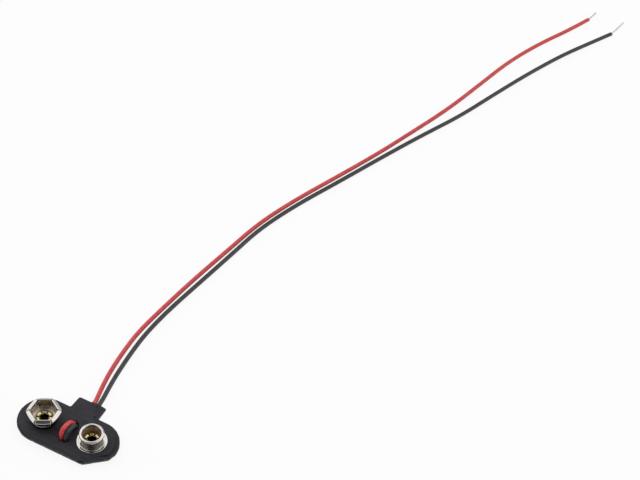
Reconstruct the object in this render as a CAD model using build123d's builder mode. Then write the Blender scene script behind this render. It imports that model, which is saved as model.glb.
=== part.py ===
from build123d import *
from math import pi, radians, tan
import os

os.makedirs("parts", exist_ok=True)

# Battery snap connector for a rectangular battery with two snap terminals, in millimetres.
# The origin is on the underside, midway between the two contacts. +X runs from the hexagonal
# socket to the round stud, +Y runs towards the tab that the leads leave by, and +Z is up.

# The pad, seen from above
contact_spacing = 12.7
pad_end_margin = 6.3
pad_half_width = 6.15
pad_middle_x = -0.08
pad_middle_y = 0.1
tab_left_root = -3.3
tab_left_end = -3.05
tab_right = 4.05
tab_end = 9.7
tab_corner_radius = 0.5
tab_root_radius = 0.35
trim_angle = -50.0
trim_distance = 5.28
rim_width = 0.9
pan_step = 0.35

# The stack, from the underside up
sheet = 0.3
lead_space = 1.2
board_thickness = 0.55
weld_height = 1.5
plateau_fillet = 0.3
plateau_root_fillet = 0.2
pan_fillet = 0.3
board_clearance = 0.1
board_tongue_end = 6.1

# The leads
lead_diameter = 1.1
conductor_diameter = 0.5
inner_height = 0.9
mouth_height = 1.2
loop_left = -0.1
loop_pitch = 1.15
mouth_left = 0.65
mouth_pitch = 1.2
mouth_clearance = 0.05
hole_clearance = 0.13
near_foot_bend = 1.1
far_foot_bend = 1.4
near_foot_relief = 0.5
far_foot_relief = 0.35
split_y = 8.6
lead_rest = 0.56
tip_straight = 0.6

# The round stud
shell_sheet = 0.25
stud_flange_width = 0.5
stud_flange_height = 0.3
stud_flange_fillet = 0.14
stud_step_width = 0.63
stud_step_height = 0.5
stud_step_fillet = 0.1
stud_rim_radius = 2.84
stud_rim_overhang = 0.42
stud_rim_wall = 0.64
stud_rim_depth = 0.8
stud_rim_fillet = 0.3
stud_mouth_fillet = 0.25
stud_shoulder = 0.2
stud_height = 3.1

# The hexagonal socket
petal_count = 6
cup_radius = 3.25
cup_height = 1.0
cup_bead_radius = 2.55
cup_bead_width = 0.3
cup_bead_height = 0.15
wall_top = 2.8
wall_apothem = 2.97
lip_crest = 3.46
lip_bend = 0.2
lip_turn = 115.0
lip_flare = 0.95
lip_radius = 3.92
petal_slot = 0.26
slot_foot = 1.3

# The eyelets that rivet each shell through the cover to the board
eyelet_bore_radius = 0.95
eyelet_wall = 0.22
eyelet_clearance = 0.05
eyelet_head_radius = 2.0
curl_clearance = 0.08
curl_rise = 0.21
curl_overlap = 20
star_angle = 30
star_points = 6
star_notch_angle = 36.0

# The solder joints under the eyelets
solder_radius = 1.45
solder_depth = 0.8
solder_reach = 2.15

# Worked out from the sizes above
socket_x = -contact_spacing / 2
stud_x = contact_spacing / 2
pad_length = contact_spacing + 2 * pad_end_margin
board_bottom = sheet + lead_space
board_top = board_bottom + board_thickness
plateau_top = board_top + sheet
lead_radius = lead_diameter / 2
loop_right = loop_left + loop_pitch
mouth_right = mouth_left + mouth_pitch
eyelet_radius = eyelet_bore_radius + eyelet_wall
eyelet_hole_radius = eyelet_radius + eyelet_clearance
lead_hole_radius = lead_radius + hole_clearance
stud_neck_radius = stud_rim_radius - stud_rim_overhang
stud_step_radius = stud_neck_radius + stud_step_width
stud_flange_radius = stud_step_radius + stud_flange_width
stud_bore_radius = stud_neck_radius - shell_sheet
stud_mouth_radius = stud_rim_radius - stud_rim_wall
curl_outer_radius = stud_bore_radius - curl_clearance


def pad_outline(inset=0.0):
    """The pad with its round ends, square tab and trimmed flat, drawn inset from the cut edge."""
    side = pad_middle_y + pad_half_width
    straight = pad_length / 2 - pad_half_width
    left_run = tab_left_root - (pad_middle_x - straight)
    right_run = pad_middle_x + straight - tab_right
    root_radius = min(tab_root_radius, 0.8 * left_run, 0.8 * right_run)
    with BuildSketch() as outline:
        with Locations((pad_middle_x, pad_middle_y)):
            SlotOverall(pad_length, 2 * pad_half_width)
        Polygon(
            (tab_left_root, pad_middle_y),
            (tab_right, pad_middle_y),
            (tab_right, tab_end),
            (tab_left_end, tab_end),
            (tab_left_root, side),
            align=None,
        )
        for x, y, radius in (
            (tab_left_root, side, root_radius),
            (tab_right, side, root_radius),
            (tab_left_end, tab_end, tab_corner_radius),
        ):
            fillet(outline.vertices().sort_by_distance((x, y, 0))[0], radius)
        trim_size = 2 * pad_half_width
        trim_middle = Vector(trim_distance + trim_size / 2, 0).rotate(Axis.Z, trim_angle)
        with Locations((stud_x + trim_middle.X, trim_middle.Y)):
            Rectangle(trim_size, trim_size, rotation=trim_angle, mode=Mode.SUBTRACT)
        if inset:
            offset(amount=-inset, kind=Kind.INTERSECTION, mode=Mode.REPLACE)
    return outline.sketch


def mouth_profile(radius, above):
    """The part of the oblong lead mouth above or below the weld, drawn in X and Z."""
    middle = (mouth_left + mouth_right) / 2
    width = mouth_pitch + 4 * radius
    side = Align.MAX if above else Align.MIN
    with BuildSketch() as mouth:
        with Locations((middle, mouth_height)):
            SlotCenterToCenter(mouth_pitch, 2 * radius)
        with Locations((middle, weld_height)):
            Rectangle(width, width, align=(Align.CENTER, side), mode=Mode.SUBTRACT)
    return mouth.sketch


def oblong(*centres):
    """A hole that takes in a lead at each of the centres."""
    with BuildSketch() as hole:
        with Locations(*centres):
            Circle(lead_hole_radius)
        make_hull()
    return hole.sketch


def corner_radii(points, tight):
    """As large an arc at each corner as its two runs allow, or the radius that tight gives."""
    vectors = [Vector(*p) for p in points]
    radii = []
    for i in range(1, len(vectors) - 1):
        before = vectors[i] - vectors[i - 1]
        after = vectors[i + 1] - vectors[i]
        half_turn = radians(before.get_angle(after) / 2)
        radii.append(tight.get(i, 0.45 * min(before.length, after.length) / tan(half_turn)))
    return radii


def wire_along(label, points, diameter, tight={}):
    """A round wire that follows straight runs joined by tangent arcs."""
    radii = corner_radii(points, tight)
    with BuildPart() as wire:
        with BuildLine() as route:
            FilletPolyline(*points, radius=radii)
        with BuildSketch(Plane(route.line @ 0, z_dir=route.line % 0)):
            Circle(diameter / 2)
        sweep()
    length = route.wires()[0].length
    share = wire.part.volume / (pi * diameter**2 / 4 * length)
    print(label, "radii", [round(r, 1) for r in radii])
    print(label, "length", round(length, 1), "volume over section times length", round(share, 4))
    return finish(wire, label)


def finish(piece, label):
    """Names a finished piece and writes it."""
    piece.part.label = label
    export_step(piece.part, f"parts/{label}.step")
    return piece.part


# Corners of each loop: near foot, near bend, crest, far bend and far foot
red_loop = (
    (loop_left, -2.6, inner_height),
    (loop_left, -2.6, 3.9),
    (loop_left, -1.7, 4.85),
    (loop_left, 0.85, 4.2),
    (loop_left, 3.2, inner_height),
)
black_loop = (
    (loop_right, -2.6, inner_height),
    (loop_right, -2.6, 3.25),
    (loop_right, -1.65, 4.25),
    (loop_right, 0.85, 3.8),
    (loop_right, 2.55, inner_height),
)


def far_leg(loop, z, relief=0.0):
    """Where the leaning leg of a loop passes a height, or a little beyond it."""
    bend, foot = loop[3], loop[4]
    share = (z - foot[2]) / (bend[2] - foot[2])
    return (foot[0], foot[1] + share * (bend[1] - foot[1]) + relief)


cover_near_hole = oblong(red_loop[0][:2], black_loop[0][:2])
cover_far_hole = oblong(
    far_leg(red_loop, plateau_top),
    far_leg(red_loop, board_top),
    far_leg(black_loop, plateau_top),
    far_leg(black_loop, board_top),
)
board_near_hole = oblong(
    (loop_left - near_foot_relief, red_loop[0][1]),
    red_loop[0][:2],
    black_loop[0][:2],
    (loop_right + near_foot_relief, black_loop[0][1]),
)
board_far_hole = oblong(
    far_leg(red_loop, board_top),
    far_leg(red_loop, board_bottom, far_foot_relief),
    far_leg(black_loop, board_top),
    far_leg(black_loop, board_bottom, far_foot_relief),
)

# Top cover: one soft sheet, formed up over the board and pressed flat round the edge
with BuildPart() as top_cover:
    with BuildSketch(Plane.XY.offset(weld_height)):
        add(pad_outline())
    extrude(amount=sheet)
    with BuildSketch(Plane.XY.offset(weld_height)):
        add(pad_outline(rim_width))
    extrude(amount=plateau_top - weld_height)
    rim_face, plateau = top_cover.faces().filter_by(Axis.Z).sort_by(Axis.Z)[-2:]
    fillet(plateau.edges(), plateau_fillet)
    fillet(rim_face.inner_wires()[0].edges(), plateau_root_fillet)
    with BuildSketch(Plane.XZ.offset(-tab_end)):
        add(mouth_profile(lead_radius + mouth_clearance + sheet, above=True))
    extrude(amount=rim_width + sheet)
    with BuildSketch(Plane.XY.offset(weld_height)):
        add(pad_outline(rim_width + sheet))
    extrude(amount=board_top - weld_height, mode=Mode.SUBTRACT)
    with BuildSketch(Plane.XZ.offset(-tab_end)):
        add(mouth_profile(lead_radius + mouth_clearance, above=True))
    extrude(amount=rim_width + 2 * sheet, mode=Mode.SUBTRACT)
    with BuildSketch(Plane.XY.offset(board_top)):
        with Locations((socket_x, 0), (stud_x, 0)):
            Circle(eyelet_hole_radius)
        add(cover_near_hole)
        add(cover_far_hole)
    extrude(amount=sheet, mode=Mode.SUBTRACT)
finish(top_cover, "top_cover")

# Bottom cover: the same sheet, formed down into a shallow pan that holds the leads
with BuildPart() as bottom_cover:
    with BuildSketch(Plane.XY.offset(weld_height - sheet)):
        add(pad_outline())
    extrude(amount=sheet)
    with BuildSketch():
        add(pad_outline(rim_width + pan_step))
    extrude(amount=weld_height)
    fillet(bottom_cover.faces().sort_by(Axis.Z)[0].edges(), pan_fillet)
    with BuildSketch(Plane.XZ.offset(-tab_end)):
        add(mouth_profile(lead_radius + mouth_clearance + sheet, above=False))
    extrude(amount=rim_width + pan_step + sheet)
    with BuildSketch(Plane.XY.offset(sheet)):
        add(pad_outline(rim_width + pan_step + sheet))
    extrude(amount=weld_height - sheet, mode=Mode.SUBTRACT)
    with BuildSketch(Plane.XZ.offset(-tab_end)):
        add(mouth_profile(lead_radius + mouth_clearance, above=False))
    extrude(amount=rim_width + pan_step + 2 * sheet, mode=Mode.SUBTRACT)
finish(bottom_cover, "bottom_cover")

# Contact board: hard sheet, punched for the two eyelets and for the ends of the loops
with BuildPart() as contact_board:
    with BuildSketch(Plane.XY.offset(board_bottom)):
        add(pad_outline(rim_width + sheet + board_clearance))
        with Locations((0, board_tongue_end)):
            Rectangle(contact_spacing, tab_end, align=(Align.CENTER, Align.MIN), mode=Mode.SUBTRACT)
        with Locations((socket_x, 0), (stud_x, 0)):
            Circle(eyelet_hole_radius, mode=Mode.SUBTRACT)
        add(board_near_hole, mode=Mode.SUBTRACT)
        add(board_far_hole, mode=Mode.SUBTRACT)
    extrude(amount=board_thickness)
finish(contact_board, "contact_board")

# Round stud: a drawn tube with a flange and a step at its foot and a rolled rim at its mouth
with BuildPart() as round_stud:
    with BuildSketch(Plane((stud_x, 0, plateau_top), x_dir=(1, 0, 0), z_dir=(0, -1, 0))) as section:
        Polygon(
            (eyelet_hole_radius, 0),
            (stud_flange_radius, 0),
            (stud_flange_radius, stud_flange_height),
            (stud_step_radius, stud_flange_height),
            (stud_step_radius, stud_step_height),
            (stud_neck_radius, stud_step_height),
            (stud_neck_radius, stud_height - stud_rim_depth - stud_shoulder),
            (stud_rim_radius, stud_height - stud_rim_depth),
            (stud_rim_radius, stud_height),
            (stud_mouth_radius, stud_height),
            (stud_bore_radius, stud_height - stud_rim_depth),
            (stud_bore_radius, shell_sheet),
            (eyelet_hole_radius, shell_sheet),
            align=None,
        )
        for r, z, radius in (
            (stud_flange_radius, stud_flange_height, stud_flange_fillet),
            (stud_step_radius, stud_step_height, stud_step_fillet),
            (stud_neck_radius, stud_step_height, stud_step_fillet),
            (stud_rim_radius, stud_height - stud_rim_depth, stud_mouth_fillet),
            (stud_rim_radius, stud_height, stud_rim_fillet),
            (stud_mouth_radius, stud_height, stud_mouth_fillet),
        ):
            fillet(section.vertices().sort_by_distance((r, z, 0))[0], radius)
    revolve(axis=Axis((stud_x, 0, 0), (0, 0, 1)))
finish(round_stud, "round_stud")

# One spring petal of the hexagonal socket: a leaf folded out into a sloping lip, round outside
petal_half = 180 / petal_count
with BuildPart() as petal:
    with BuildSketch(Plane.XY.offset(cup_height)):
        with BuildLine():
            CenterArc((0, 0), cup_radius, -petal_half, 2 * petal_half)
            CenterArc((0, 0), cup_radius - shell_sheet, -petal_half, 2 * petal_half)
            for side in (-1, 1):
                Line(
                    Vector(cup_radius, 0).rotate(Axis.Z, side * petal_half),
                    Vector(cup_radius - shell_sheet, 0).rotate(Axis.Z, side * petal_half),
                )
        make_face()
    with BuildSketch(Plane.XY.offset(wall_top)):
        half_outer = wall_apothem * tan(radians(petal_half))
        half_inner = (wall_apothem - shell_sheet) * tan(radians(petal_half))
        Polygon(
            (wall_apothem, -half_outer),
            (wall_apothem, half_outer),
            (wall_apothem - shell_sheet, half_inner),
            (wall_apothem - shell_sheet, -half_inner),
            align=None,
        )
    loft(ruled=True)
    with BuildSketch(Plane.XZ) as lip_section:
        with BuildLine():
            middle = wall_apothem - shell_sheet / 2
            fold = lip_crest - shell_sheet / 2 - lip_bend
            Line((middle, wall_top), (middle, fold))
            lip = CenterArc((middle + lip_bend, fold), lip_bend, 180, -lip_turn)
            Line(lip @ 1, (lip @ 1) + (lip % 1) * lip_flare)
        trace(line_width=shell_sheet)
    extrude(amount=cup_radius, both=True)
    with BuildSketch(Plane.XY.offset(cup_height)):
        Circle(lip_radius)
        Polygon(
            (0, 0),
            (2 * cup_radius, -2 * cup_radius * tan(radians(petal_half))),
            (2 * cup_radius, 2 * cup_radius * tan(radians(petal_half))),
            align=None,
            mode=Mode.INTERSECT,
        )
    extrude(amount=lip_crest, mode=Mode.INTERSECT)

# Hexagonal socket: a round drawn cup whose wall is slit into six sprung petals
with BuildPart() as hex_socket:
    with BuildSketch(Plane((socket_x, 0, plateau_top), x_dir=(1, 0, 0), z_dir=(0, -1, 0))) as section:
        Polygon(
            (eyelet_hole_radius, 0),
            (cup_radius, 0),
            (cup_radius, cup_height),
            (cup_radius - shell_sheet, cup_height),
            (cup_radius - shell_sheet, shell_sheet),
            (cup_bead_radius + cup_bead_width, shell_sheet),
            (cup_bead_radius + cup_bead_width / 2, shell_sheet + cup_bead_height),
            (cup_bead_radius, shell_sheet),
            (eyelet_hole_radius, shell_sheet),
            align=None,
        )
        fillet(section.vertices().sort_by_distance((cup_radius, 0, 0))[0], shell_sheet)
    revolve(axis=Axis((socket_x, 0, 0), (0, 0, 1)))
    with Locations((socket_x, 0, plateau_top)):
        with PolarLocations(0, petal_count):
            add(petal.part)
        with PolarLocations(0, petal_count, start_angle=petal_half):
            with Locations((wall_apothem / 2, 0, slot_foot)):
                Box(
                    cup_radius,
                    petal_slot,
                    lip_crest,
                    align=(Align.MIN, Align.CENTER, Align.MIN),
                    mode=Mode.SUBTRACT,
                )
finish(hex_socket, "hex_socket")


def eyelet(label, x):
    """A rivet with a flat head under the board and a split end curled over inside the shell."""
    middle = eyelet_bore_radius + eyelet_wall / 2
    head = board_bottom - eyelet_wall / 2
    curl = plateau_top + shell_sheet + curl_rise
    reach = (curl_outer_radius - eyelet_wall / 2 - middle) / 2
    notch_root = eyelet_bore_radius + eyelet_wall / 4
    notch_end = 2 * curl_outer_radius
    notch_half = (notch_end - notch_root) * tan(radians(star_notch_angle / 2))
    with BuildPart() as rivet:
        with BuildSketch(Plane((x, 0, 0), x_dir=(1, 0, 0), z_dir=(0, -1, 0))):
            with BuildLine():
                Polyline((eyelet_head_radius, head), (middle, head), (middle, curl))
                CenterArc((middle + reach, curl), reach, -curl_overlap, 180 + curl_overlap)
            trace(line_width=eyelet_wall)
        revolve(axis=Axis((x, 0, 0), (0, 0, 1)))
        with BuildSketch(Plane.XY.offset(curl - eyelet_wall)):
            with Locations((x, 0)):
                with PolarLocations(0, star_points, start_angle=star_angle):
                    Polygon(
                        (notch_root, 0),
                        (notch_end, -notch_half),
                        (notch_end, notch_half),
                        align=None,
                    )
        extrude(amount=reach + 2 * eyelet_wall, mode=Mode.SUBTRACT)
    finish(rivet, label)


eyelet("socket_eyelet", socket_x)
eyelet("stud_eyelet", stud_x)


def solder_joint(label, x, towards):
    """A dome of solder on the head of an eyelet, with the bared end of the lead let into it."""
    base = board_bottom - eyelet_wall
    ball = (solder_radius**2 + solder_depth**2) / (2 * solder_depth)
    with BuildPart() as joint:
        with BuildSketch(Plane((x, 0, base), x_dir=(1, 0, 0), z_dir=(0, -1, 0))):
            with Locations((0, ball - solder_depth)):
                Circle(ball)
            Rectangle(2 * ball, 2 * ball, align=(Align.CENTER, Align.MIN), mode=Mode.SUBTRACT)
            Rectangle(ball, 2 * ball, align=(Align.MAX, Align.CENTER), mode=Mode.SUBTRACT)
        revolve(axis=Axis((x, 0, 0), (0, 0, 1)))
        with BuildSketch(Plane((x, 0, inner_height), z_dir=towards)):
            Circle(conductor_diameter / 2)
        extrude(amount=solder_reach)
    finish(joint, label)


# Each lead turns off from its solder joint towards the near foot of its loop
red_turn = Vector(-2.6, red_loop[0][1], inner_height)
black_turn = Vector(3.5, black_loop[0][1], inner_height)
red_way = (red_turn - Vector(socket_x, 0, inner_height)).normalized()
black_way = (black_turn - Vector(stud_x, 0, inner_height)).normalized()
red_start = Vector(socket_x, 0, inner_height) + red_way * solder_reach
black_start = Vector(stud_x, 0, inner_height) + black_way * solder_reach
solder_joint("socket_solder_joint", socket_x, red_way)
solder_joint("stud_solder_joint", stud_x, black_way)

# Lead loops: from the solder joint up through the board, over, down again and into the mouth
wire_along(
    "red_lead_loop",
    [
        tuple(red_start),
        tuple(red_turn),
        *red_loop,
        (0.1, 6.4, inner_height),
        (mouth_left, 7.7, mouth_height),
        (mouth_left, split_y, mouth_height),
    ],
    lead_diameter,
    {2: near_foot_bend, 6: far_foot_bend},
)
wire_along(
    "black_lead_loop",
    [
        tuple(black_start),
        tuple(black_turn),
        *black_loop,
        (1.3, 6.4, inner_height),
        (mouth_right, 7.7, mouth_height),
        (mouth_right, split_y, mouth_height),
    ],
    lead_diameter,
    {2: near_foot_bend, 6: far_foot_bend},
)

# Free leads: out of the mouth, down to the surface and away, side by side, then apart
red_last = (47.9, 197.1, lead_rest)
red_end = (51.0, 204.5, lead_rest)
wire_along(
    "red_lead",
    [
        (mouth_left, split_y, mouth_height),
        (mouth_left, 10.5, mouth_height),
        (0.05, 12.9, 0.85),
        (-0.75, 16.4, lead_rest),
        (-1.4, 20.6, lead_rest),
        (-1.85, 26.7, lead_rest),
        (-1.95, 34.2, lead_rest),
        (-0.65, 43.8, lead_rest),
        (1.15, 55.3, lead_rest),
        (3.6, 67.9, lead_rest),
        (6.15, 80.9, 0.75),
        (10.7, 93.5, 0.95),
        (16.2, 106.5, 0.95),
        (21.45, 119.6, 0.8),
        (26.1, 133.1, lead_rest),
        (30.8, 146.7, lead_rest),
        (34.4, 160.7, lead_rest),
        (37.8, 174.3, lead_rest),
        (42.6, 186.6, lead_rest),
        red_last,
        red_end,
    ],
    lead_diameter,
)
black_last = (55.9, 195.7, lead_rest)
black_end = (59.2, 201.8, lead_rest)
wire_along(
    "black_lead",
    [
        (mouth_right, split_y, mouth_height),
        (mouth_right, 10.5, mouth_height),
        (1.5, 12.9, 0.85),
        (0.85, 16.5, lead_rest),
        (0.35, 20.8, lead_rest),
        (-0.05, 27.2, lead_rest),
        (-0.15, 34.7, lead_rest),
        (0.95, 44.3, lead_rest),
        (3.05, 55.8, lead_rest),
        (5.3, 68.2, lead_rest),
        (7.2, 79.4, lead_rest),
        (11.5, 92.0, lead_rest),
        (17.1, 105.0, lead_rest),
        (22.7, 118.6, lead_rest),
        (28.7, 132.6, lead_rest),
        (34.8, 145.6, lead_rest),
        (39.5, 158.7, lead_rest),
        (44.6, 172.2, lead_rest),
        (50.2, 185.2, lead_rest),
        black_last,
        black_end,
    ],
    lead_diameter,
)

# Bared tips: a few millimetres of tinned strand past the end of each insulation
red_way_out = (Vector(*red_end) - Vector(*red_last)).normalized()
black_way_out = (Vector(*black_end) - Vector(*black_last)).normalized()
wire_along(
    "red_lead_tip",
    [red_end, tuple(Vector(*red_end) + red_way_out * tip_straight), (51.9, 208.8, 0.4)],
    conductor_diameter,
)
wire_along(
    "black_lead_tip",
    [black_end, tuple(Vector(*black_end) + black_way_out * tip_straight), (60.6, 208.8, 0.4)],
    conductor_diameter,
)
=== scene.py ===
from math import cos, pi, radians, sin

import bmesh
import bpy
from mathutils import Matrix, Vector
from mathutils import noise as noise_field


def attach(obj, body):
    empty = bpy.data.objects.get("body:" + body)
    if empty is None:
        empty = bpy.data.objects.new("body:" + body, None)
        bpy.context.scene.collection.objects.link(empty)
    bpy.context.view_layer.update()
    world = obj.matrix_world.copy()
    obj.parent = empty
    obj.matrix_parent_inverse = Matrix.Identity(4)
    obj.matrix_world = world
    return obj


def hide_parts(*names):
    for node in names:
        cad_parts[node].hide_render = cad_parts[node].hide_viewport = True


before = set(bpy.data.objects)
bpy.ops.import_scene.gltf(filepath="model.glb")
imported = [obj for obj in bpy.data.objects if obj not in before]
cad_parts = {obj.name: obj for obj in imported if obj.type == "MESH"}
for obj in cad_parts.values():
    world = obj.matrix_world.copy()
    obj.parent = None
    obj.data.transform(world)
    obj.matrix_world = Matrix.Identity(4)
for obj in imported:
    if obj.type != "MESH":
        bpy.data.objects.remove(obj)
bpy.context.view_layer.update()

# The camera
# It looks down at the pad and along the leads, a little rolled, and stands about 44 cm away.
camera_target = Vector((0.0221626, 0.0842387, 0.0))
camera_azimuth = radians(22.3657)
camera_elevation = radians(46.7602)
camera_roll = radians(5.977)
camera_distance = 0.4363169
camera_focal_px = 1699.2328
frame_width_px = 640
sensor_width_mm = 36.0

towards_camera = Vector((
    sin(camera_azimuth) * cos(camera_elevation),
    -cos(camera_azimuth) * cos(camera_elevation),
    sin(camera_elevation),
))
level_right = Vector((cos(camera_azimuth), sin(camera_azimuth), 0.0))
level_up = towards_camera.cross(level_right)
camera_right = cos(camera_roll) * level_right + sin(camera_roll) * level_up
camera_up = cos(camera_roll) * level_up - sin(camera_roll) * level_right

camera_data = bpy.data.cameras.new("camera")
camera_data.sensor_width = sensor_width_mm
camera_data.lens = camera_focal_px * sensor_width_mm / frame_width_px
camera_data.clip_start = 0.01
camera_data.clip_end = 20.0
camera = bpy.data.objects.new("camera", camera_data)
turn = Matrix((camera_right, camera_up, towards_camera)).transposed()
camera.matrix_world = Matrix.Translation(
    camera_target + towards_camera * camera_distance
) @ turn.to_4x4()
bpy.context.scene.collection.objects.link(camera)
bpy.context.scene.camera = camera
bpy.context.scene.view_settings.view_transform = "Standard"

# Red lead
# A stranded copper wire in soft red vinyl, about 1.1 mm thick. It leaves through the mouth of
# the tab, lies on the surface beside the black lead, leans on it midway, and then parts from it.
lead_thickness = 0.0011
lead_rest = 0.00056
mouth_height = 0.0012
split_y = 0.0086
red_mouth_x = 0.00065
red_route = (
    (red_mouth_x, split_y, mouth_height),
    (red_mouth_x, 0.0105, mouth_height),
    (0.00005, 0.0129, 0.00085),
    (-0.00075, 0.0164, lead_rest),
    (-0.0014, 0.0206, lead_rest),
    (-0.00185, 0.0267, lead_rest),
    (-0.00195, 0.0342, lead_rest),
    (-0.00065, 0.0438, lead_rest),
    (0.00115, 0.0553, lead_rest),
    (0.0036, 0.0679, lead_rest),
    (0.00615, 0.0809, 0.00075),
    (0.0107, 0.0935, 0.00095),
    (0.0162, 0.1065, 0.00095),
    (0.02145, 0.1196, 0.0008),
    (0.0261, 0.1331, lead_rest),
    (0.0308, 0.1467, lead_rest),
    (0.0344, 0.1607, lead_rest),
    (0.0378, 0.1743, lead_rest),
    (0.0426, 0.1866, lead_rest),
    (0.0479, 0.1971, lead_rest),
    (0.0510, 0.2045, lead_rest),
)


def new_material(name):
    """A material with a bare Principled shader, its node tree and that shader."""
    material = bpy.data.materials.new(name)
    material.use_nodes = True
    tree = material.node_tree
    return material, tree, tree.nodes["Principled BSDF"]


def ramp(tree, factor, stops):
    """A colour ramp fed by factor, with a (position, colour) pair for each stop."""
    node = tree.nodes.new("ShaderNodeValToRGB")
    while len(node.color_ramp.elements) < len(stops):
        node.color_ramp.elements.new(0.5)
    for element, (position, colour) in zip(node.color_ramp.elements, stops):
        element.position = position
        element.color = (*colour, 1.0)
    tree.links.new(factor, node.inputs["Fac"])
    return node.outputs["Color"]


def noise(tree, scale, detail=2.0, stretch=(1.0, 1.0, 1.0)):
    """Noise on the piece's own coordinates, scale in cells per metre along each stretched axis."""
    place = tree.nodes.new("ShaderNodeTexCoord")
    mapping = tree.nodes.new("ShaderNodeMapping")
    mapping.inputs["Scale"].default_value = stretch
    texture = tree.nodes.new("ShaderNodeTexNoise")
    texture.inputs["Scale"].default_value = scale
    texture.inputs["Detail"].default_value = detail
    tree.links.new(place.outputs["Object"], mapping.inputs["Vector"])
    tree.links.new(mapping.outputs["Vector"], texture.inputs["Vector"])
    return texture.outputs["Fac"]


def bump(tree, shader, height, distance, strength):
    """Raises the surface by a height field, distance in metres."""
    node = tree.nodes.new("ShaderNodeBump")
    node.inputs["Distance"].default_value = distance
    node.inputs["Strength"].default_value = strength
    tree.links.new(height, node.inputs["Height"])
    tree.links.new(node.outputs["Normal"], shader.inputs["Normal"])


def dress(node_name, material):
    """Gives a carried CAD node its finish."""
    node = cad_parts[node_name]
    node.data.materials.clear()
    node.data.materials.append(material)


def lead_curve(name, route, thickness, material):
    """A round lead on one smooth spline through its route's control points."""
    curve = bpy.data.curves.new(name, "CURVE")
    curve.dimensions = "3D"
    curve.resolution_u = 10
    curve.bevel_depth = thickness / 2
    curve.bevel_resolution = 6
    curve.use_fill_caps = True
    spline = curve.splines.new("NURBS")
    spline.points.add(len(route) - 1)
    for point, place in zip(spline.points, route):
        point.co = (*place, 1.0)
    spline.order_u = 3
    spline.use_endpoint_u = True
    curve.materials.append(material)
    piece = bpy.data.objects.new(name, curve)
    bpy.context.scene.collection.objects.link(piece)
    return piece


def insulation(name, colour, dark, light):
    """Soft vinyl insulation: satin, faintly mottled, with a shallow drawn texture."""
    material, tree, shader = new_material(name)
    mottle = noise(tree, 900.0, 3.0)
    tone = ramp(tree, mottle, ((0.3, dark), (0.55, colour), (0.8, light)))
    tree.links.new(tone, shader.inputs["Base Color"])
    shader.inputs["Roughness"].default_value = 0.42
    shader.inputs["Specular IOR Level"].default_value = 0.5
    bump(tree, shader, noise(tree, 2600.0, 2.0), 0.00002, 0.5)
    return material


red_vinyl = insulation(
    "red_vinyl", (0.69, 0.058, 0.061), (0.59, 0.041, 0.045), (0.75, 0.082, 0.084)
)
red_lead = lead_curve("red_lead_insulation", red_route, lead_thickness, red_vinyl)
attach(red_lead, "root")
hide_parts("red_lead")
dress("red_lead_loop", red_vinyl)

# Black lead
# The same wire in black vinyl. It leaves the mouth on the side of the round stud and ends
# about as far away as the red one, with its own bared tip.
black_mouth_x = 0.00185
black_route = (
    (black_mouth_x, split_y, mouth_height),
    (black_mouth_x, 0.0105, mouth_height),
    (0.0015, 0.0129, 0.00085),
    (0.00085, 0.0165, lead_rest),
    (0.00035, 0.0208, lead_rest),
    (-0.00005, 0.0272, lead_rest),
    (-0.00015, 0.0347, lead_rest),
    (0.00095, 0.0443, lead_rest),
    (0.00305, 0.0558, lead_rest),
    (0.0053, 0.0682, lead_rest),
    (0.0072, 0.0794, lead_rest),
    (0.0115, 0.0920, lead_rest),
    (0.0171, 0.1050, lead_rest),
    (0.0227, 0.1186, lead_rest),
    (0.0287, 0.1326, lead_rest),
    (0.0348, 0.1456, lead_rest),
    (0.0395, 0.1587, lead_rest),
    (0.0446, 0.1722, lead_rest),
    (0.0502, 0.1852, lead_rest),
    (0.0559, 0.1957, lead_rest),
    (0.0592, 0.2018, lead_rest),
)
black_vinyl = insulation(
    "black_vinyl", (0.030, 0.030, 0.033), (0.022, 0.022, 0.025), (0.042, 0.042, 0.047)
)
black_lead = lead_curve("black_lead_insulation", black_route, lead_thickness, black_vinyl)
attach(black_lead, "root")
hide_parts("black_lead")
dress("black_lead_loop", black_vinyl)

# Bared tips
# The last few millimetres of each lead: seven thin copper strands, six of them laid round the
# seventh, twisted together and tinned.
red_tip_route = (
    red_route[-1],
    (0.05123, 0.20505, lead_rest),
    (0.0519, 0.2088, 0.0004),
)
black_tip_route = (
    black_route[-1],
    (0.05949, 0.20233, lead_rest),
    (0.0606, 0.2088, 0.0004),
)
outer_strands = 6
strand_thickness = 0.00017
strand_pitch = 0.0046


def twisted_tip(name, route, material):
    """Strands twisted round one straight strand along a short tip, joined in one mesh."""
    line = lead_curve(name + "_line", route, 0.0, material)
    line_mesh = bpy.data.meshes.new_from_object(line)
    steps = [vertex.co.copy() for vertex in line_mesh.vertices]
    along = (steps[-1] - steps[0]).normalized()
    side = along.cross(Vector((0.0, 0.0, 1.0))).normalized()
    rise = side.cross(along)
    line.data.bevel_depth = strand_thickness / 2
    line.data.bevel_resolution = 2
    for strand in range(outer_strands):
        spline = line.data.splines.new("NURBS")
        spline.points.add(len(steps) - 1)
        for point, step in zip(spline.points, steps):
            turned = 2 * pi * (strand / outer_strands + (step - steps[0]).length / strand_pitch)
            place = step + strand_thickness * (cos(turned) * side + sin(turned) * rise)
            point.co = (*place, 1.0)
        spline.order_u = 3
        spline.use_endpoint_u = True
    mesh = bpy.data.meshes.new_from_object(line)
    mesh.name = name
    piece = bpy.data.objects.new(name, mesh)
    bpy.context.scene.collection.objects.link(piece)
    bpy.data.objects.remove(line)
    bpy.data.meshes.remove(line_mesh)
    return piece


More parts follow.
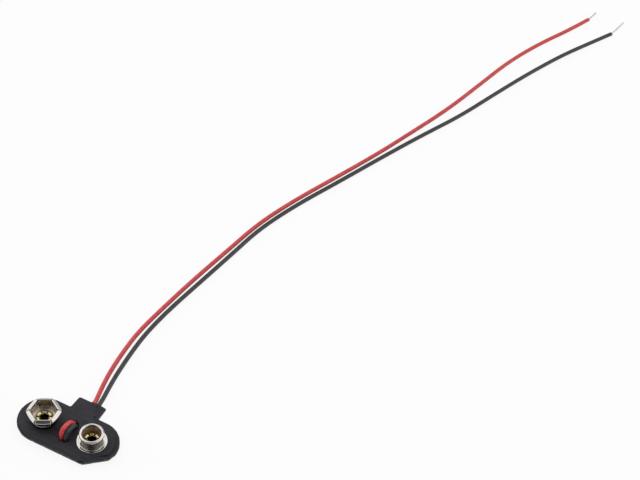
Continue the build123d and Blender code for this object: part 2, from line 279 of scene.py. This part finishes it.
tinned, tree, shader = new_material("tinned_strand")
tone = ramp(tree, noise(tree, 4000.0), ((0.3, (0.55, 0.54, 0.53)), (0.7, (0.80, 0.79, 0.78))))
tree.links.new(tone, shader.inputs["Base Color"])
shader.inputs["Metallic"].default_value = 1.0
shader.inputs["Roughness"].default_value = 0.32
bump(tree, shader, noise(tree, 5000.0), 0.00001, 0.5)
red_strands = twisted_tip("red_lead_strands", red_tip_route, tinned)
black_strands = twisted_tip("black_lead_strands", black_tip_route, tinned)
for strands, node_name in ((red_strands, "red_lead_tip"), (black_strands, "black_lead_tip")):
    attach(strands, "root")
    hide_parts(node_name)

# Covers
# Two sheets of soft charcoal vinyl, formed over the board and welded together round the rim.
# The face has a fine leathery grain with faint streaks along the pad, and the cut edge of the
# rim is ragged and paler where the knife tore it.
cut_edge_bottom = 0.0012
rim_top = 0.0018
rim_rise = 0.00003
step_slope = 0.88
upright_share = 0.25


def arithmetic(tree, operation, first, second):
    """One step of arithmetic on a socket and a number or a second socket."""
    node = tree.nodes.new("ShaderNodeMath")
    node.operation = operation
    tree.links.new(first, node.inputs[0])
    if isinstance(second, float):
        node.inputs[1].default_value = second
    else:
        tree.links.new(second, node.inputs[1])
    return node.outputs["Value"]


def upward(tree, output):
    """The Z part of a texture coordinate: of Object for the height, of Normal for the slope."""
    place = tree.nodes.new("ShaderNodeTexCoord")
    parts = tree.nodes.new("ShaderNodeSeparateXYZ")
    tree.links.new(place.outputs[output], parts.inputs["Vector"])
    return parts.outputs["Z"]


def blend_colour(tree, share, first, second):
    """The first colour, giving way to the second by share."""
    node = tree.nodes.new("ShaderNodeMix")
    node.data_type = "RGBA"
    tree.links.new(share, node.inputs["Factor"])
    tree.links.new(first, node.inputs["A"])
    tree.links.new(second, node.inputs["B"])
    return node.outputs["Result"]


vinyl, tree, shader = new_material("cover_vinyl")
streaks = noise(tree, 900.0, 3.0, stretch=(0.25, 2.2, 1.0))
face_tone = ramp(
    tree,
    streaks,
    ((0.35, (0.0210, 0.0206, 0.0258)), (0.65, (0.0345, 0.0338, 0.0428))),
)
torn = ramp(
    tree,
    noise(tree, 3400.0, 2.0),
    ((0.46, (0.020, 0.020, 0.022)), (0.60, (0.16, 0.16, 0.165))),
)
height = upward(tree, "Object")
slope = upward(tree, "Normal")
steepness = arithmetic(tree, "MULTIPLY", slope, slope)
upright = arithmetic(tree, "LESS_THAN", steepness, upright_share)
above = arithmetic(tree, "GREATER_THAN", height, cut_edge_bottom)
below = arithmetic(tree, "LESS_THAN", height, rim_top)
edge_band = arithmetic(tree, "MULTIPLY", above, below)
cut_edge = arithmetic(tree, "MULTIPLY", edge_band, upright)
# Painted shade: tilted faces above the rim, the slope of the step up to the plateau, get a
# near-black tone in place of the face tone, standing in for the shade along the step.
tilted = arithmetic(tree, "LESS_THAN", slope, step_slope)
above_rim = arithmetic(tree, "GREATER_THAN", height, rim_top + rim_rise)
step_of_pan = arithmetic(tree, "MULTIPLY", tilted, above_rim)
painted_step_shade = ramp(
    tree,
    noise(tree, 1500.0, 2.0),
    ((0.3, (0.006, 0.006, 0.007)), (0.7, (0.013, 0.012, 0.015))),
)
cover_tone = blend_colour(tree, step_of_pan, face_tone, painted_step_shade)
tree.links.new(blend_colour(tree, cut_edge, cover_tone, torn), shader.inputs["Base Color"])
shader.inputs["Roughness"].default_value = 0.58
shader.inputs["Specular IOR Level"].default_value = 0.28
bump(tree, shader, noise(tree, 3200.0, 4.0), 0.00005, 0.6)

# The plan of the pad: the middle line of its round-ended body, and the flats that trim it, each
# with a point on the cut and the way that it faces. The second flat is cut here.
body_radius = 0.00615
body_left = -0.00658
body_right = 0.00642
body_middle_y = 0.0001
corner_cuts = (((0.00974, -0.00404), -50.0), ((0.01216, -0.00155), -18.0))
tab_right = 0.00405
tab_root_y = 0.0060
slope_width = 0.0024
slope_start = 0.0002
plateau_top = 0.00235
merge_distance = 0.000001
same_place = 0.00001
eased_from_y = -0.0034
eased_to_y = -0.0006
tab_blend = 0.0008
top_facing = 0.15
side_facing = 0.3
longest_edge = 0.0008
edge_halvings = 5
ragged_depth = 0.00007
ragged_band = 0.00015
ragged_to_y = 0.005535
coarse_jag = 0.0006
fine_jag = 0.00025
fine_jag_layer = 0.001
sharp_edge = radians(40)


def smooth_share(value, low, high):
    """Rises gently from 0 at low to 1 at high."""
    share = max(0.0, min(1.0, (value - low) / (high - low)))
    return share * share * (3 - 2 * share)


def edge_of_body(place):
    """How far inside the body's outline a place is, and the way out of it."""
    nearest = Vector((max(body_left, min(body_right, place.x)), body_middle_y))
    away = Vector((place.x, place.y)) - nearest
    inside = body_radius - away.length
    out = away.normalized()
    for (cut_x, cut_y), degrees in corner_cuts:
        way = Vector((cos(radians(degrees)), sin(radians(degrees))))
        past = way.dot(Vector((cut_x, cut_y)) - Vector((place.x, place.y)))
        if past < inside:
            inside = past
            out = way
    return inside, out


def soft_cover(name, node_name):
    """A copy of a formed sheet, eased on its near side and cut a little unevenly."""
    shape = bmesh.new()
    shape.from_mesh(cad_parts[node_name].data)
    bmesh.ops.remove_doubles(shape, verts=shape.verts, dist=merge_distance)
    (cut_x, cut_y), degrees = corner_cuts[1]
    bmesh.ops.bisect_plane(
        shape,
        geom=shape.verts[:] + shape.edges[:] + shape.faces[:],
        plane_co=(cut_x, cut_y, 0.0),
        plane_no=(cos(radians(degrees)), sin(radians(degrees)), 0.0),
        clear_outer=True,
    )
    bmesh.ops.holes_fill(shape, edges=[edge for edge in shape.edges if edge.is_boundary])
    bmesh.ops.triangulate(shape, faces=shape.faces)
    for halving in range(edge_halvings):
        long = [edge for edge in shape.edges if edge.calc_length() > longest_edge]
        bmesh.ops.subdivide_edges(shape, edges=long, cuts=1)
        bmesh.ops.triangulate(shape, faces=[face for face in shape.faces if len(face.verts) > 3])
    shape.normal_update()
    moves = []
    for vertex in shape.verts:
        place = vertex.co
        inside, out = edge_of_body(place)
        flat_out = Vector((out.x, out.y, 0.0))
        move = Vector((0.0, 0.0, 0.0))
        near = 1 - smooth_share(place.y, eased_from_y, eased_to_y)
        by_tab = smooth_share(place.y, tab_root_y, tab_root_y + tab_blend)
        depth = inside
        if by_tab > 0:
            near = by_tab * (1 if place.x > 0 else 0)
            depth = tab_right - place.x
            flat_out = Vector((1.0, 0.0, 0.0))
        outer_face = vertex.normal.z > top_facing or vertex.normal.dot(flat_out) > side_facing
        on_top = place.z > rim_top - same_place
        if near > 0 and outer_face and on_top and depth < slope_width:
            climbed = smooth_share(depth, -slope_start, slope_width)
            eased = rim_top + (plateau_top - rim_top) * climbed
            move.z = near * (eased - place.z)
        if abs(inside) < ragged_band and place.y < ragged_to_y:
            jag = noise_field.noise(Vector((place.x, place.y, 0.0)) / coarse_jag)
            jag += 0.5 * noise_field.noise(Vector((place.x, place.y, fine_jag_layer)) / fine_jag)
            move += Vector((out.x, out.y, 0.0)) * ragged_depth * jag
        moves.append((vertex, move))
    for vertex, move in moves:
        vertex.co += move
    mesh = bpy.data.meshes.new(name)
    shape.to_mesh(mesh)
    shape.free()
    mesh.shade_smooth()
    mesh.set_sharp_from_angle(angle=sharp_edge)
    mesh.materials.append(vinyl)
    piece = bpy.data.objects.new(name, mesh)
    bpy.context.scene.collection.objects.link(piece)
    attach(piece, "root")
    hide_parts(node_name)


soft_cover("top_cover_sheet", "top_cover")
soft_cover("bottom_cover_sheet", "bottom_cover")

# Contact board
# A thin sheet of hard brown fibre board, punched for the rivets and the loops.
fibre, tree, shader = new_material("fibre_board")
tone = ramp(
    tree,
    noise(tree, 1500.0, 4.0),
    ((0.3, (0.22, 0.14, 0.07)), (0.7, (0.38, 0.26, 0.15))),
)
tree.links.new(tone, shader.inputs["Base Color"])
shader.inputs["Roughness"].default_value = 0.7
dress("contact_board", fibre)

# Contacts
# The hexagonal socket and the round stud, drawn from thin sheet, nickel plated and riveted to
# the board. The plating hardly reaches into the bore of the stud, which is dull and brown. The
# neck under the rim and the foot of the socket are painted dark grey, as painted shade and a
# painted dark reflection of the pad, and the inside of the socket is painted darker and warmer,
# as painted shade and a painted warm reflection of the brass.
stud_x = 0.00635
socket_x = -0.00635
stud_bore_edge = 0.0023
stud_neck_edge = 0.0025
stud_brown_and_shade_top = 0.0050
socket_inside_edge = 0.0029
socket_inside_top = 0.0053
socket_outside_edge = 0.0031
socket_reach = 0.0045
socket_foot_shade_top = 0.0050
bore_bareness = 0.75
recess_dullness = 0.2


def axis_distance(tree, middle):
    """How far a point stands from the upright axis of a contact."""
    place = tree.nodes.new("ShaderNodeTexCoord")
    across = tree.nodes.new("ShaderNodeMapping")
    across.inputs["Location"].default_value = (-middle, 0.0, 0.0)
    across.inputs["Scale"].default_value = (1.0, 1.0, 0.0)
    tree.links.new(place.outputs["Object"], across.inputs["Vector"])
    length = tree.nodes.new("ShaderNodeVectorMath")
    length.operation = "LENGTH"
    tree.links.new(across.outputs["Vector"], length.inputs[0])
    return length.outputs["Value"]


nickel, tree, shader = new_material("nickel_plate")
plating = ramp(
    tree,
    noise(tree, 700.0, 3.0),
    ((0.3, (0.56, 0.54, 0.51)), (0.7, (0.65, 0.63, 0.605))),
)
patches = noise(tree, 1400.0, 4.0)
bore_brown = ramp(tree, patches, ((0.3, (0.33, 0.23, 0.14)), (0.7, (0.47, 0.35, 0.23))))
# Painted shade and painted dark reflection: a dark grey for the neck under the stud's rim and the
# foot of the socket wall.
shade_and_dark_reflection = ramp(tree, patches, ((0.3, (0.12, 0.105, 0.09)), (0.7, (0.19, 0.17, 0.15))))
# Painted shade and painted warm reflection of the brass: the inside of the socket's cup is painted
# darker and warmer than the plating.
inside = ramp(tree, patches, ((0.3, (0.46, 0.39, 0.31)), (0.7, (0.66, 0.60, 0.52))))
height = upward(tree, "Object")
stud_distance = axis_distance(tree, stud_x)
under_rim = arithmetic(tree, "LESS_THAN", height, stud_brown_and_shade_top)
near_neck = arithmetic(tree, "LESS_THAN", stud_distance, stud_neck_edge)
near_bore = arithmetic(tree, "LESS_THAN", stud_distance, stud_bore_edge)
in_neck = arithmetic(tree, "MULTIPLY", near_neck, under_rim)
in_bore = arithmetic(tree, "MULTIPLY", near_bore, under_rim)
socket_distance = axis_distance(tree, socket_x)
in_cup = arithmetic(tree, "LESS_THAN", socket_distance, socket_inside_edge)
under_lips = arithmetic(tree, "LESS_THAN", height, socket_inside_top)
in_socket = arithmetic(tree, "MULTIPLY", in_cup, under_lips)
# The foot of the socket wall, painted dark grey as painted shade and a painted dark reflection of
# the pad.
past_wall = arithmetic(tree, "GREATER_THAN", socket_distance, socket_outside_edge)
by_socket = arithmetic(tree, "LESS_THAN", socket_distance, socket_reach)
low_down = arithmetic(tree, "LESS_THAN", height, socket_foot_shade_top)
round_socket = arithmetic(tree, "MULTIPLY", past_wall, by_socket)
socket_foot_painted_shade = arithmetic(tree, "MULTIPLY", round_socket, low_down)
tone = blend_colour(tree, in_socket, plating, inside)
tone = blend_colour(tree, socket_foot_painted_shade, tone, shade_and_dark_reflection)
tone = blend_colour(tree, in_neck, tone, shade_and_dark_reflection)
tone = blend_colour(tree, in_bore, tone, bore_brown)
tree.links.new(tone, shader.inputs["Base Color"])
bare = arithmetic(tree, "MULTIPLY", in_bore, -bore_bareness)
tree.links.new(arithmetic(tree, "ADD", bare, 1.0), shader.inputs["Metallic"])
gloss = tree.nodes.new("ShaderNodeMapRange")
gloss.inputs["To Min"].default_value = 0.07
gloss.inputs["To Max"].default_value = 0.17
tree.links.new(noise(tree, 1600.0, 3.0), gloss.inputs["Value"])
recessed = arithmetic(tree, "MAXIMUM", in_neck, in_socket)
dulled = arithmetic(tree, "MULTIPLY", recessed, recess_dullness)
roughness = arithmetic(tree, "ADD", gloss.outputs["Result"], dulled)
tree.links.new(roughness, shader.inputs["Roughness"])
bump(tree, shader, noise(tree, 700.0, 1.0), 0.000002, 0.2)
dress("round_stud", nickel)

# Hexagonal socket
# A round drawn cup of plated sheet, riveted to the board. Its wall is slit into six sprung
# petals that lean in to grip, with lips that are folded out and down, hexagonal at the crest.
shell_sheet = 0.00025
socket_petals = 6
socket_slit_from = 9
# The middle of the sheet, ring by ring from the rivet to the edge of the lips: its flat and its
# round radius, the share that is flat, its height, and the width of the slit in degrees
socket_profile = (
    (0.0, 0.00125, 0.0, 0.000125, 2.6),
    (0.0, 0.00245, 0.0, 0.000125, 2.6),
    (0.0, 0.00262, 0.0, 0.00024, 2.6),
    (0.0, 0.00276, 0.0, 0.00024, 2.6),
    (0.0, 0.00290, 0.0, 0.000125, 2.6),
    (0.0, 0.00308, 0.0, 0.00022, 2.6),
    (0.0, 0.00313, 0.0, 0.00050, 2.6),
    (0.0, 0.00313, 0.0, 0.00088, 2.6),
    (0.0, 0.00307, 0.0, 0.00102, 2.6),
    (0.0, 0.00301, 0.0, 0.00116, 2.6),
    (0.00292, 0.00301, 0.25, 0.00155, 2.6),
    (0.00288, 0.00299, 0.8, 0.00205, 2.6),
    (0.00282, 0.00296, 1.0, 0.00255, 2.6),
    (0.00282, 0.00300, 1.0, 0.00295, 2.6),
    (0.00285, 0.00300, 1.0, 0.00322, 2.6),
    (0.00295, 0.00320, 1.0, 0.00334, 2.6),
    (0.00305, 0.00330, 1.0, 0.00333, 2.6),
    (0.00313, 0.00337, 1.0, 0.00319, 2.6),
    (0.00325, 0.00354, 0.95, 0.00312, 2.6),
    (0.00340, 0.00370, 0.8, 0.00305, 2.6),
    (0.00353, 0.00382, 0.65, 0.00291, 2.6),
    (0.00356, 0.00386, 0.6, 0.00270, 2.6),
)


def split_shell(name, centre, base, profile, slit_from, petals, sheet, material, uneven=0.0):
    """A round cup of thin sheet, slit into petals from one ring of its profile to its edge."""
    spread = (-1.0, -0.88, -0.3, 0.3, 0.88, 1.0)
    sway = 2.4
    lift = 1.7
    strips = len(spread)
    across = petals * strips
    rings = len(profile) - 1
    shape = bmesh.new()
    bmesh.ops.create_grid(shape, x_segments=across, y_segments=rings, size=0.5)
    slits = []
    for face in shape.faces:
        middle = face.calc_center_median()
        strip = int((middle.x + 0.5) * across)
        ring = int((middle.y + 0.5) * rings)
        if strip % strips == strips - 1 and ring >= slit_from:
            slits.append(face)
    bmesh.ops.delete(shape, geom=slits, context="FACES")
    half = pi / petals
    for vertex in shape.verts:
        petal, step = divmod(round((vertex.co.x + 0.5) * across), strips)
        ring = round((vertex.co.y + 0.5) * rings)
        flat, round_radius, flat_share, height, slit = profile[ring]
        local = (half - radians(slit) / 2) * spread[step]
        radius = flat_share * flat / cos(local) + (1 - flat_share) * round_radius
        loose = max(0.0, (ring - slit_from) / (rings - slit_from)) * uneven
        radius += loose * sin(sway * (petal % petals))
        height += loose * cos(lift * (petal % petals))
        turned = 2 * half * petal + local
        vertex.co = (centre + radius * cos(turned), radius * sin(turned), base + height)
    bmesh.ops.remove_doubles(shape, verts=shape.verts, dist=merge_distance)
    bmesh.ops.recalc_face_normals(shape, faces=shape.faces)
    mesh = bpy.data.meshes.new(name)
    shape.to_mesh(mesh)
    shape.free()
    mesh.shade_smooth()
    mesh.materials.append(material)
    piece = bpy.data.objects.new(name, mesh)
    bpy.context.scene.collection.objects.link(piece)
    wall = piece.modifiers.new("sheet", "SOLIDIFY")
    wall.thickness = sheet
    wall.offset = 0.0
    rounding = piece.modifiers.new("rounding", "SUBSURF")
    rounding.levels = 2
    rounding.render_levels = 2
    return piece


socket_shell = split_shell(
    "hex_socket_shell", socket_x, plateau_top, socket_profile, socket_slit_from, socket_petals,
    shell_sheet, nickel,
)
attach(socket_shell, "root")
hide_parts("hex_socket")

# Eyelets
# Brass rivets whose split ends are curled over inside the contacts. The bore below the curl is
# painted near black, as painted shade deep in the bore.
bore_shade_line = 0.0028
brass, tree, shader = new_material("brass_eyelet")
bright = ramp(
    tree,
    noise(tree, 1800.0, 3.0),
    ((0.3, (0.58, 0.48, 0.20)), (0.7, (0.86, 0.77, 0.42))),
)
# Painted shade: below the shade line the brass is painted near black, standing in for the shade
# deep in the bore.
bore_painted_shade = ramp(
    tree,
    noise(tree, 2500.0, 2.0),
    ((0.3, (0.020, 0.013, 0.006)), (0.7, (0.060, 0.042, 0.018))),
)
in_shaded_bore = arithmetic(tree, "LESS_THAN", upward(tree, "Object"), bore_shade_line)
tree.links.new(blend_colour(tree, in_shaded_bore, bright, bore_painted_shade), shader.inputs["Base Color"])
shader.inputs["Metallic"].default_value = 1.0
shader.inputs["Roughness"].default_value = 0.28
bump(tree, shader, noise(tree, 2200.0, 1.0), 0.00002, 0.5)
eyelet_wall = 0.00022
eyelet_lobes = 6
eyelet_split_from = 5
curl_unevenness = 0.0001
# The middle of the sheet from the head under the board up to the end of the curl
eyelet_profile = (
    (0.0, 0.00190, 0.0, 0.00139, 2.0),
    (0.0, 0.00120, 0.0, 0.00139, 2.0),
    (0.0, 0.00106, 0.0, 0.00150, 2.0),
    (0.0, 0.00106, 0.0, 0.00200, 2.0),
    (0.0, 0.00106, 0.0, 0.00262, 4.0),
    (0.0, 0.00108, 0.0, 0.00288, 8.0),
    (0.0, 0.00118, 0.0, 0.00310, 12.0),
    (0.0, 0.00137, 0.0, 0.00324, 16.0),
    (0.0, 0.00161, 0.0, 0.00325, 18.0),
    (0.0, 0.00184, 0.0, 0.00313, 18.0),
    (0.0, 0.00196, 0.0, 0.00292, 18.0),
    (0.0, 0.00194, 0.0, 0.00280, 18.0),
)
for name, middle, node_name in (
    ("socket_rivet", socket_x, "socket_eyelet"),
    ("stud_rivet", stud_x, "stud_eyelet"),
):
    rivet = split_shell(
        name, middle, 0.0, eyelet_profile, eyelet_split_from, eyelet_lobes, eyelet_wall, brass,
        curl_unevenness,
    )
    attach(rivet, "root")
    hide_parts(node_name)

# Solder joints
# Small domes of dull solder that hold the bared ends of the leads to the heads of the eyelets.
# Their grey is painted darker than the solder's own, as painted shade at the bottom of the bores.
solder, tree, shader = new_material("solder")
# Dull solder, painted darker as painted shade at the bottom of the bores.
tone = ramp(tree, noise(tree, 1500.0), ((0.3, (0.10, 0.09, 0.08)), (0.7, (0.30, 0.29, 0.28))))
tree.links.new(tone, shader.inputs["Base Color"])
shader.inputs["Metallic"].default_value = 1.0
shader.inputs["Roughness"].default_value = 0.35
dress("socket_solder_joint", solder)
dress("stud_solder_joint", solder)

# Floor
# A plain white surface. The camera and the bright metal see it evenly lit, with a faint shadow.
floor_size = 6.0
floor_evenness = 0.9
shape = bmesh.new()
bmesh.ops.create_grid(shape, x_segments=1, y_segments=1, size=floor_size / 2)
floor_mesh = bpy.data.meshes.new("floor")
shape.to_mesh(floor_mesh)
shape.free()
floor_paint, tree, shader = new_material("floor_paint")
shader.inputs["Base Color"].default_value = (0.95, 0.95, 0.95, 1.0)
shader.inputs["Roughness"].default_value = 0.9
shader.inputs["Specular IOR Level"].default_value = 0.1
even_light = tree.nodes.new("ShaderNodeEmission")
path = tree.nodes.new("ShaderNodeLightPath")
mix = tree.nodes.new("ShaderNodeMixShader")
seen = path.outputs["Is Camera Ray"]
for way in ("Is Glossy Ray", "Is Transmission Ray"):
    seen = arithmetic(tree, "MAXIMUM", seen, path.outputs[way])
tree.links.new(arithmetic(tree, "MULTIPLY", seen, floor_evenness), mix.inputs["Fac"])
tree.links.new(shader.outputs["BSDF"], mix.inputs[1])
tree.links.new(even_light.outputs["Emission"], mix.inputs[2])
tree.links.new(mix.outputs["Shader"], tree.nodes["Material Output"].inputs["Surface"])
floor_mesh.materials.append(floor_paint)
floor = bpy.data.objects.new("floor", floor_mesh)
bpy.context.scene.collection.objects.link(floor)

# Lights
# Plain soft studio light: a broad softbox on each side of the object, in a room that is dim
# above the near side.
lamp_target = Vector((0.0, 0.02, 0.0))
dim_way = Vector((0.26, -0.63, 0.73)).normalized()
for name, place, size, power in (
    ("left_softbox", (-0.86, 0.0, 0.62), 2.1, 12.8),
    ("right_softbox", (0.78, 0.42, 0.66), 1.9, 10.6),
):
    lamp_data = bpy.data.lights.new(name, "AREA")
    lamp_data.shape = "SQUARE"
    lamp_data.size = size
    lamp_data.energy = power
    lamp = bpy.data.objects.new(name, lamp_data)
    lamp.location = place
    lamp.visible_camera = False
    lamp.rotation_euler = (lamp_target - Vector(place)).to_track_quat("-Z", "Y").to_euler()
    bpy.context.scene.collection.objects.link(lamp)

world = bpy.data.worlds.new("world")
bpy.context.scene.world = world
world.use_nodes = True
tree = world.node_tree
backdrop = tree.nodes["Background"]
place = tree.nodes.new("ShaderNodeTexCoord")
towards_dim = tree.nodes.new("ShaderNodeVectorMath")
towards_dim.operation = "DOT_PRODUCT"
tree.links.new(place.outputs["Generated"], towards_dim.inputs[0])
towards_dim.inputs[1].default_value = dim_way
sky = ramp(
    tree,
    towards_dim.outputs["Value"],
    (
        (0.0, (0.48, 0.48, 0.48)),
        (0.35, (0.42, 0.42, 0.43)),
        (0.7, (0.12, 0.12, 0.12)),
        (1.0, (0.08, 0.08, 0.08)),
    ),
)
tree.links.new(sky, backdrop.inputs["Color"])
backdrop.inputs["Strength"].default_value = 1.0
